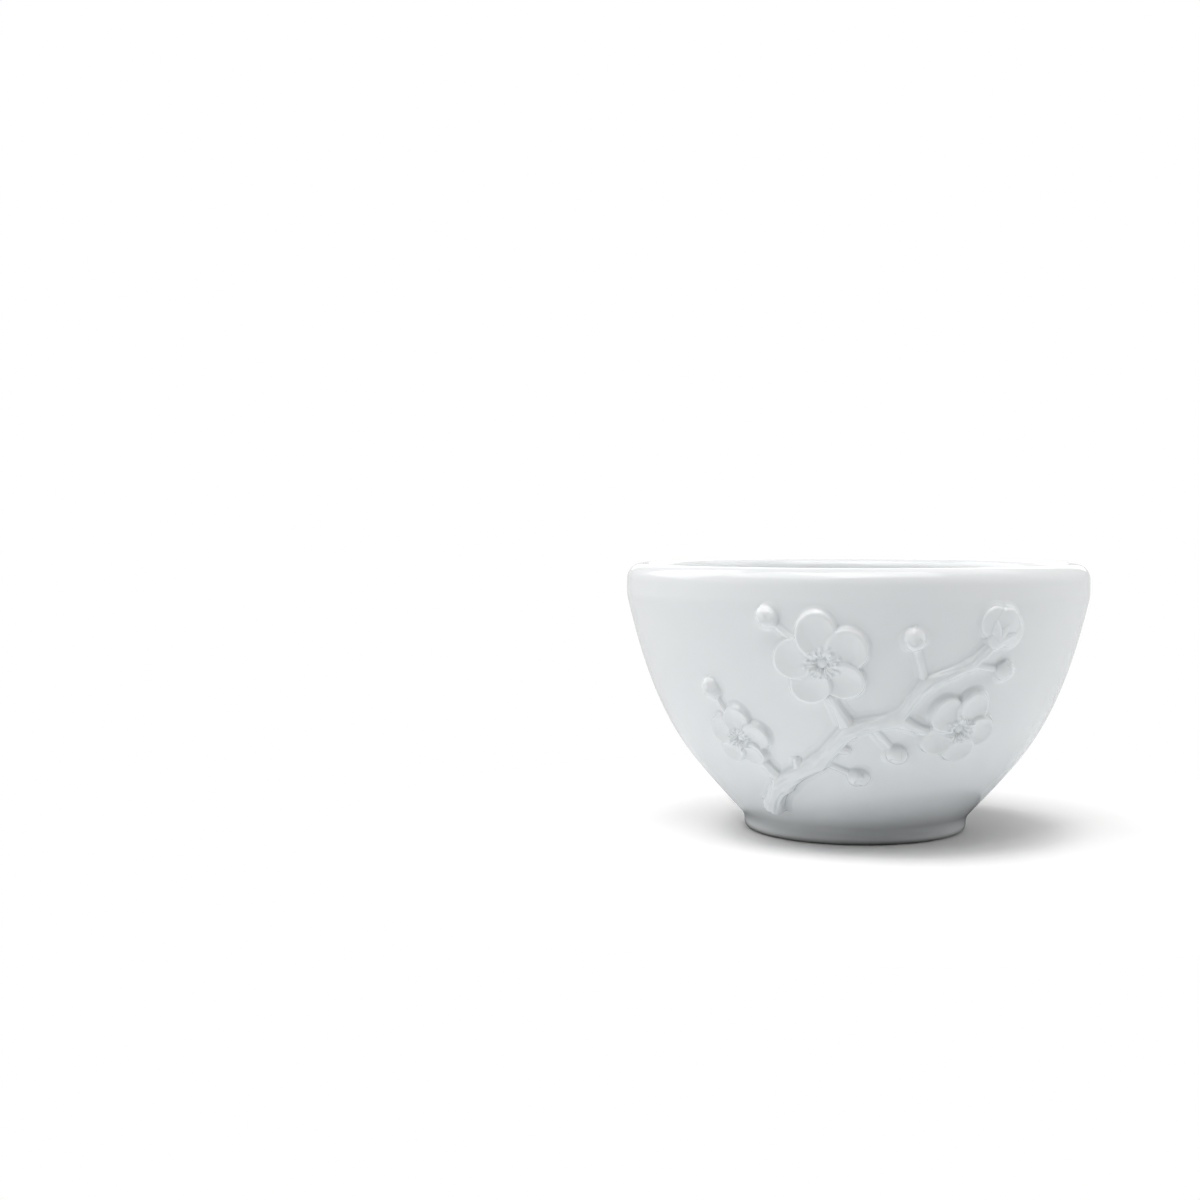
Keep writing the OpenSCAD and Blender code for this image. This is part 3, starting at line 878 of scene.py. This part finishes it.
class HalfOpenBlossom:
    """Height of a blossom seen from its side, in shares of its petals' length and height."""

    # Each petal: how far it is turned, and its height
    FAN = ((radians(-42), 0.66), (radians(42), 0.75), (0.0, 0.98))
    REACH, PETAL_R = 0.55, 0.5
    CENTRE = 0.36
    # A petal: fall from its middle outwards, rise of its tip, veins, and fall of its edge
    ARCH_H = 0.34
    CURL_H, CURLS = 0.1, (0.35, 0.95)
    VEINS = (0.02, 9, 0.62)
    EDGE = (0.3, 0.86, 0.14)
    GROUND_H, SOFTNESS, BORDER_SOFTNESS = 0.2, 0.04, 0.03
    # The calyx: its height, how round its top is, and where and how steeply its edge falls
    CALYX_H, CALYX_ARCH, CALYX_EDGE, CALYX_FALL = 1.12, 0.62, 0.85, 0.5 / 0.03
    # The sepals: length, width, how far they lean, height, and its fall along, across and beside them
    SEPAL, SEPAL_W, SEPAL_FULLNESS, SEPAL_LEANS = 0.6, 0.16, 0.75, (-0.75, 0.0, 0.75)
    SEPAL_H, SEPAL_ALONG, SEPAL_ACROSS, SEPAL_BESIDE = 1.16, 0.2, 10, 4

    def __init__(self, spin, calyx_share):
        self.spin, self.calyx_share = spin, calyx_share
        self.discs = [(self.REACH * heading(spin + turn), self.PETAL_R) for turn, _ in self.FAN]
        self.discs.append((Vector((0, 0)), calyx_share))
        self.centre = self.CENTRE * heading(spin)

    def outline(self, turn):
        """Distance from the centre to the border of the petals and the calyx."""
        way = heading(turn)
        ends = []
        for centre, r in self.discs:
            away = centre - self.centre
            along = away.dot(way)
            inside = r * r - (away.length_squared - along * along)
            if inside > 0 and along + sqrt(inside) > 0:
                ends.append(along + sqrt(inside))
        return soft_max(ends, self.BORDER_SOFTNESS)

    def height(self, x, y):
        """Height of the petals, with the calyx on them."""
        at = Vector((x, y)) + self.centre
        right, over = heading(self.spin - pi / 2), heading(self.spin)
        heights = [self.GROUND_H]
        for turn, crown in self.FAN:
            axis = heading(self.spin + turn)
            away = at - self.REACH * axis
            along, across = away.dot(axis), away.dot(Vector((-axis.y, axis.x)))
            q = hypot(along, across) / self.PETAL_R
            petal = crown - self.ARCH_H * q * q + veins(*self.VEINS, along, across, q)
            petal += self.CURL_H * smooth_step(*self.CURLS, along / self.PETAL_R)
            heights.append(petal - edge_drop(*self.EDGE, q))
        heights.append(self.calyx(at.dot(right), at.dot(over)))
        return soft_max(heights, self.SOFTNESS)

    def calyx(self, a, b):
        """Cup of the calyx with three pointed sepals that lie on the petals."""
        r = hypot(a, b) / self.calyx_share
        best = self.CALYX_H * sqrt(max(1 - self.CALYX_ARCH * r * r, 0))
        best -= self.CALYX_FALL * max(r - self.CALYX_EDGE, 0) ** 2
        for lean in self.SEPAL_LEANS:
            way = heading(pi / 2 - lean)
            along, across = a * way.x + b * way.y, abs(a * way.y - b * way.x)
            if along > 0:
                width = self.SEPAL_W * max(1 - (along / self.SEPAL) ** 2, 0) ** self.SEPAL_FULLNESS
                outside = hypot(max(along - self.SEPAL, 0), max(across - width, 0))
                sepal = self.SEPAL_H - self.SEPAL_ALONG * along - self.SEPAL_ACROSS * across * across
                best = max(best, sepal - self.SEPAL_BESIDE * outside)
        return best


class EGGCUP_OT_opening_blossom(bpy.types.Operator):
    """Press the half-open blossom onto the branch's tip"""

    bl_idname = "egg_cup.opening_blossom"
    bl_label = "Half-open Blossom"
    AROUND, RINGS = 220, 84

    def execute(self, context):
        branch = PlumBranch(context)
        spread = branch.relief.opening_petal_d
        flower = HalfOpenBlossom(branch.OPENING_SPIN, branch.relief.bud_d / 2 / spread)
        centre = flower.centre * spread
        place = branch.wall.beside(*branch.place(branch.OPENING_SHARE), centre.x, centre.y)
        bm = bmesh.new()
        press_flower(bm, branch, place, spread, flower, self.AROUND, self.RINGS)
        finished_relief(context, bm, "half_open_blossom", "opening_blossom")
        return {"FINISHED"}


class EGGCUP_OT_buds(bpy.types.Operator):
    """Press the six closed buds onto the wall, each with its calyx and stem"""

    bl_idname = "egg_cup.buds"
    bl_label = "Buds"
    STEM_STEPS, STEPS, ROWS = 60, 150, 60
    # Lengths in a bud's radii from its middle. First how far it goes ahead and behind, and how blunt it is
    AHEAD, BEHIND, BLUNTNESS, FULLNESS = 1.28, 1.08, 2.2, 0.55
    SOFTNESS = 0.08
    # The stem's collar, and how many of its radii it takes to reach its thickness
    COLLAR, COLLAR_WIDTH, STEM_REACH = 0.5, 1.5, 2
    # The calyx: its height, where its sepals start and how far they reach, and the softness of their border
    CALYX_H, CALYX_STARTS = 0.09, (-1.15, -0.75)
    SEPALS, SEPALS_FROM, SEPAL_REACH, SEPAL_TURN, BORDER = 5, -0.3, 0.6, 1.3, 0.07
    # The seam of the petals' fold: its height, its twist, how it differs from bud to bud, and its ends
    SEAM_H, SEAM_TWIST, SEAM_CHANGE = 0.06, 0.5, 0.25
    SEAM_STARTS, SEAM_ENDS = (-0.2, 0.3), (0.8, 1.15)
    # Taken off all round
    LOWERED = 0.03

    def execute(self, context):
        branch = PlumBranch(context)
        bud_r, stem_r = branch.relief.bud_d / 2, branch.relief.stem_d / 2
        ahead = self.AHEAD * bud_r
        for number, (root, own) in enumerate(branch.BUD_SHARES, 1):
            bm = bmesh.new()
            stem = branch.limb((root, own), self.STEM_STEPS)
            grown = 1 + ahead / (stem.length + branch.hidden_length(root))
            tip = tuple(a + (b - a) * grown for a, b in zip(root, own))
            limb = branch.limb((root, tip), self.STEPS)
            middle = limb.length - ahead

            def radius(run, middle=middle):
                past = (run - middle) / bud_r
                reach = self.AHEAD if past > 0 else self.BEHIND
                head = bud_r * max(1 - abs(past / reach) ** self.BLUNTNESS, 0) ** self.FULLNESS
                if past > 0:
                    return head
                stalk = stem_r * (1 + self.COLLAR * bump(run, self.COLLAR_WIDTH * stem_r))
                stalk *= joined_end(run, stem_r, self.STEM_REACH)
                return soft_max((head, stalk), self.SOFTNESS * bud_r)

            def grain(at, run, middle=middle, number=number):
                past = (run - middle) / bud_r
                notch = abs(sin(self.SEPALS / 2 * at + self.SEPAL_TURN * number))
                border = self.SEPALS_FROM + self.SEPAL_REACH * (1 - notch)
                calyx = self.CALYX_H * (1 - smooth_step(border - self.BORDER, border + self.BORDER, past))
                fold = sin(at - pi / 2 + self.SEAM_TWIST * past) + self.SEAM_CHANGE * sin(number)
                seam = self.SEAM_H * smooth_step(-self.BORDER, self.BORDER, fold)
                seam *= smooth_step(*self.SEAM_STARTS, past)
                seam *= 1 - smooth_step(*self.SEAM_ENDS, past)
                return calyx * smooth_step(*self.CALYX_STARTS, past) + seam - self.LOWERED

            limb.press(bm, self.ROWS, radius, grain)
            finished_relief(context, bm, f"closed_bud_{number}", f"bud_{number}")
        return {"FINISHED"}


class Shading:
    """Adds nodes to the tree of a material or a world, with their values, and links them."""

    def __init__(self, owner):
        owner.use_nodes = True
        self.tree = owner.node_tree
        self.tree.nodes.clear()

    def add(self, kind, *values, **settings):
        """Adds a node. values go to its inputs in order: sockets are linked, and other values are set."""
        node = self.tree.nodes.new(kind)
        for name, value in settings.items():
            setattr(node, name, value)
        for socket, value in zip(node.inputs, values):
            self.put(socket, value)
        return node

    def put(self, socket, value):
        if isinstance(value, bpy.types.NodeSocket):
            self.tree.links.new(value, socket)
        elif value is not None:
            socket.default_value = value

    def maths(self, operation, *values):
        return self.add("ShaderNodeMath", *values, operation=operation).outputs[0]

    def noise(self, coordinates, scale, detail=2.0, roughness=0.5):
        node = self.add("ShaderNodeTexNoise", coordinates)
        node.inputs["Scale"].default_value = scale
        node.inputs["Detail"].default_value = detail
        node.inputs["Roughness"].default_value = roughness
        return node.outputs["Fac"]

    def bumped(self, height, distance, normal=None):
        """Normal of the surface with a height on it, which is a distance where it is 1."""
        node = self.add("ShaderNodeBump", 1.0, distance)
        self.put(node.inputs["Height"], height)
        self.put(node.inputs["Normal"], normal)
        return node.outputs["Normal"]

    def ranged(self, value, from_low, from_high, to_low=0.0, to_high=1.0):
        node = self.add("ShaderNodeMapRange", value, from_low, from_high, to_low, to_high)
        return node.outputs["Result"]

    def mixed(self, factor, first, second):
        node = self.add("ShaderNodeMix", data_type="RGBA")
        for name, value in (("Factor_Float", factor), ("A_Color", first), ("B_Color", second)):
            self.put(next(socket for socket in node.inputs if socket.identifier == name), value)
        return next(socket for socket in node.outputs if socket.identifier == "Result_Color")


def rgba(colour_value):
    return (*colour_value, 1)


# Cells per metre of the glaze's changes in tone, gloss and height, and of the bare clay's border and grit
TONE_CELLS, GLOSS_CELLS, WAVE_CELLS, PORE_CELLS = 55, 300, 130, 1700
BORDER_CELLS, GRIT_CELLS = 700, 5200
WAVE_H, PORE_H, GRIT_H = 0.05 * MM, 0.0018 * MM, 0.03 * MM
# Parts of a noise's values that are spread over the whole of a change
NOISE_SPAN, TONE_SPAN = (0.3, 0.7), (0.35, 0.65)
# Where the colour of gathered glaze and painted shade in the hollows starts and is strongest, and how
# strong
POOL_AND_SHADE_SPAN, POOL_AND_SHADE_SHARE = (0.02, 0.5), 0.7
GLAZE_ROUGHNESS, CLAY_ROUGHNESS = (0.06, 0.11), 0.8
GLAZE_IOR = 1.52
# Heights between which the glaze ends at the foot, and the softness of its border
BORDER_Z, BORDER_BLUR = (0.16 * MM, 0.34 * MM), 0.03 * MM
DARK_GRIT = 0.9


def glaze(name, raised, cool, pooled_glaze_and_shade, bare=None):
    """Clear glossy glaze over white porcelain: a slow change of tone, a cooler, darker colour in the
    hollows, partly gathered glaze and partly painted shade, and the faint waves and pores of its surface.
    bare is the colour of an unglazed foot."""
    material = bpy.data.materials.new(name)
    sh = Shading(material)
    place = sh.add("ShaderNodeTexCoord").outputs["Object"]
    tone = sh.mixed(sh.ranged(sh.noise(place, TONE_CELLS, 3), *TONE_SPAN), rgba(raised), rgba(cool))
    # Painted shade and gathered glaze: the hollows take a cooler, darker colour
    pool = sh.add("ShaderNodeAttribute", attribute_name="pool").outputs["Fac"]
    tone = sh.mixed(sh.ranged(pool, *POOL_AND_SHADE_SPAN, 0, POOL_AND_SHADE_SHARE), tone, rgba(pooled_glaze_and_shade))
    dull = sh.ranged(sh.noise(place, GLOSS_CELLS, 3), *NOISE_SPAN, *GLAZE_ROUGHNESS)
    normal = sh.bumped(sh.noise(place, WAVE_CELLS, 1.5), WAVE_H)
    normal = sh.bumped(sh.noise(place, PORE_CELLS), PORE_H, normal)
    if bare is not None:
        height = sh.add("ShaderNodeSeparateXYZ", place).outputs["Z"]
        border = sh.ranged(sh.noise(place, BORDER_CELLS), *NOISE_SPAN, *BORDER_Z)
        clay = sh.ranged(sh.maths("SUBTRACT", height, border), BORDER_BLUR, -BORDER_BLUR)
        grit = sh.noise(place, GRIT_CELLS, 3, 0.7)
        darker = rgba([DARK_GRIT * part for part in bare])
        tone = sh.mixed(clay, tone, sh.mixed(sh.ranged(grit, *NOISE_SPAN), rgba(bare), darker))
        dull = sh.maths("MAXIMUM", dull, sh.maths("MULTIPLY", clay, CLAY_ROUGHNESS))
        normal = sh.bumped(sh.maths("MULTIPLY", grit, clay), GRIT_H, normal)
    shader = sh.add("ShaderNodeBsdfPrincipled")
    inputs = {"Base Color": tone, "Roughness": dull, "Normal": normal, "IOR": GLAZE_IOR}
    for socket, value in inputs.items():
        sh.put(shader.inputs[socket], value)
    sh.add("ShaderNodeOutputMaterial", shader.outputs["BSDF"])
    return material


def cup_glaze(context):
    """Glaze of the cup, which leaves the foot's resting face bare."""
    finish = context.scene.egg_cup_finish
    return glaze("cup_glaze", finish.body, finish.body_cool, finish.pooled_glaze_and_shade, finish.bare)


def relief_glaze(context):
    """Glaze of the relief, the same for all its pieces."""
    finish = context.scene.egg_cup_finish
    known = bpy.data.materials.get("relief_glaze")
    return known or glaze("relief_glaze", finish.relief, finish.body, finish.pooled_glaze_and_shade)


def white_for(sh, mirrored):
    """Brightness of the white surroundings: 1 for the camera's own ray, mirrored for a reflected one."""
    rays = sh.add("ShaderNodeLightPath").outputs
    other = sh.maths("MAXIMUM", rays["Is Glossy Ray"], rays["Is Transmission Ray"])
    return sh.maths("MAXIMUM", rays["Is Camera Ray"], sh.maths("MULTIPLY", other, mirrored))


class EGGCUP_OT_stage(bpy.types.Operator):
    """Set up the floor, the lamps, the white surroundings and the camera"""

    bl_idname = "egg_cup.stage"
    bl_label = "Stage"

    # Each lamp: its setting, its angles from the front line and from level, its width and its height
    LAMPS = (
        ("key", -45, 66, 0.8, 0.8),
        ("high", 25, 77, 0.7, 0.7),
        ("rear", 135, 65, 0.7, 0.7),
        ("side", -112.5, 40, 0.7, 0.7),
        ("left", -60, 9.5, 0.8, 0.3),
        ("right", 100, 16, 1.0, 0.5),
        ("back", 180, 20, 0.7, 0.45),
    )
    LAMP_DISTANCE = 0.95
    # A lamp lower than this many degrees doesn't show as a patch in the glaze
    SHOWS_FROM = 20
    AIM = Vector((0, 0, 0.02))
    FLOOR_SIDE = 6.0
    NEAREST_SEEN = 0.01

    def execute(self, context):
        stage = context.scene.egg_cup_stage
        self.lay_floor(stage)
        for name, turn, rise, *size in self.LAMPS:
            holder = self.hang_lamp(name, radians(turn), radians(rise), *size, getattr(stage, name))
            holder.visible_glossy = rise >= self.SHOWS_FROM
        self.light_sky(context, stage)
        self.place_camera(context, stage)
        context.scene.view_settings.view_transform = "Standard"
        return {"FINISHED"}

    @staticmethod
    def past(sh, place, shift, start, end):
        """0 up to a distance from a point right of the cup's middle, and 1 from a second one on."""
        middle = (shift, 0, 0)
        distance = sh.add("ShaderNodeVectorMath", place, middle, operation="DISTANCE").outputs["Value"]
        return sh.ranged(distance, start, end)

    def lay_floor(self, stage):
        bm = bmesh.new()
        bmesh.ops.create_grid(bm, x_segments=1, y_segments=1, size=self.FLOOR_SIDE / 2)
        mesh = bpy.data.meshes.new("floor")
        bm.to_mesh(mesh)
        bm.free()
        floor = bpy.data.objects.new("floor", mesh)
        bpy.context.scene.collection.objects.link(floor)
        material = bpy.data.materials.new("floor_paint")
        sh = Shading(material)
        place = sh.add("ShaderNodeTexCoord").outputs["Object"]
        # Painted shadow: the seen floor's colour is darker close to the cup's foot, and eases to the full
        # gain further out
        past_painted_shadow = self.past(sh, place, stage.painted_shadow_shift, stage.painted_shadow_from, stage.painted_shadow_to)
        eased = sh.add("ShaderNodeMapRange", past_painted_shadow, interpolation_type="SMOOTHSTEP")
        painted_shadow = rgba([stage.painted_shadow_gain * part for part in stage.floor])
        gained = rgba([stage.floor_gain * part for part in stage.floor])
        seen = sh.mixed(eased.outputs["Result"], painted_shadow, gained)
        paint = sh.add("ShaderNodeBsdfDiffuse", seen).outputs[0]
        # Painted shade: close to the foot the floor's colour for the light it sends back is almost black,
        # so the foot and the lower wall go dark
        away = self.past(sh, place, stage.painted_shade_bounce_shift, stage.painted_shade_bounce_from, stage.painted_shade_bounce_to)
        bounce_with_painted_shade = sh.mixed(away, rgba(stage.painted_shade_bounce), rgba(stage.bounce))
        bounce = sh.add("ShaderNodeBsdfDiffuse", bounce_with_painted_shade).outputs[0]
        camera_ray = sh.add("ShaderNodeLightPath").outputs["Is Camera Ray"]
        near = sh.add("ShaderNodeMixShader", camera_ray, bounce, paint).outputs[0]
        white = white_for(sh, stage.mirrored)
        far = sh.add("ShaderNodeEmission", (1, 1, 1, 1), white).outputs[0]
        turned = self.past(sh, place, 0, stage.white_from, stage.white_at)
        turned = sh.maths("MULTIPLY", turned, sh.maths("GREATER_THAN", white, 0.0))
        both = sh.add("ShaderNodeMixShader", turned, near, far).outputs[0]
        sh.add("ShaderNodeOutputMaterial", both)
        mesh.materials.append(material)

    def hang_lamp(self, name, turn, rise, width, height, brightness):
        away = Vector((sin(turn) * cos(rise), -cos(turn) * cos(rise), sin(rise)))
        lamp = bpy.data.lights.new(name + "_lamp", "AREA")
        lamp.shape = "RECTANGLE"
        lamp.size, lamp.size_y = width, height
        lamp.energy = brightness * pi * width * height
        holder = bpy.data.objects.new(name + "_lamp", lamp)
        holder.location = self.AIM + self.LAMP_DISTANCE * away
        holder.rotation_euler = (-away).to_track_quat("-Z", "Y").to_euler()
        bpy.context.scene.collection.objects.link(holder)
        return holder

    def light_sky(self, context, stage):
        world = bpy.data.worlds.new("white_surroundings")
        sh = Shading(world)
        sky = sh.add("ShaderNodeBackground", (1, 1, 1, 1), white_for(sh, stage.mirrored))
        sh.add("ShaderNodeOutputWorld", sky.outputs[0])
        context.scene.world = world

    def place_camera(self, context, stage):
        data = bpy.data.cameras.new("photo_camera")
        data.lens = stage.lens
        data.shift_x = stage.shift
        data.clip_start = self.NEAREST_SEEN
        camera = bpy.data.objects.new("photo_camera", data)
        look = Vector((
            -sin(stage.yaw) * cos(stage.pitch), cos(stage.yaw) * cos(stage.pitch), -sin(stage.pitch)
        ))
        camera.matrix_world = Matrix.LocRotScale(Vector(stage.eye), look.to_track_quat("-Z", "Y"), None)
        context.scene.collection.objects.link(camera)
        context.scene.camera = camera


OPERATORS = (
    EGGCUP_OT_body,
    EGGCUP_OT_main_branch,
    EGGCUP_OT_twigs,
    EGGCUP_OT_blossoms,
    EGGCUP_OT_opening_blossom,
    EGGCUP_OT_buds,
    EGGCUP_OT_stage,
)


class EGGCUP_PT_panel(bpy.types.Panel):
    """Sidebar list of the steps that make the egg cup"""

    bl_idname = "EGGCUP_PT_panel"
    bl_label = "Egg Cup"
    bl_space_type = "VIEW_3D"
    bl_region_type = "UI"
    bl_category = "Egg Cup"

    def draw(self, context):
        for operator in OPERATORS:
            self.layout.operator(operator.bl_idname)


SETTINGS = {
    "egg_cup": EggCupSizes,
    "egg_cup_relief": ReliefSizes,
    "egg_cup_finish": GlazeFinish,
    "egg_cup_stage": CupStage,
}


def register():
    for cls in (*SETTINGS.values(), *OPERATORS, EGGCUP_PT_panel):
        bpy.utils.register_class(cls)
    for name, cls in SETTINGS.items():
        setattr(bpy.types.Scene, name, PointerProperty(type=cls))


def unregister():
    for name in SETTINGS:
        delattr(bpy.types.Scene, name)
    for cls in reversed((*SETTINGS.values(), *OPERATORS, EGGCUP_PT_panel)):
        bpy.utils.unregister_class(cls)


def main():
    register()
    bpy.ops.egg_cup.body()
    bpy.ops.egg_cup.main_branch()
    bpy.ops.egg_cup.twigs()
    bpy.ops.egg_cup.blossoms()
    bpy.ops.egg_cup.opening_blossom()
    bpy.ops.egg_cup.buds()
    bpy.ops.egg_cup.stage()


if __name__ == "__main__":
    main()
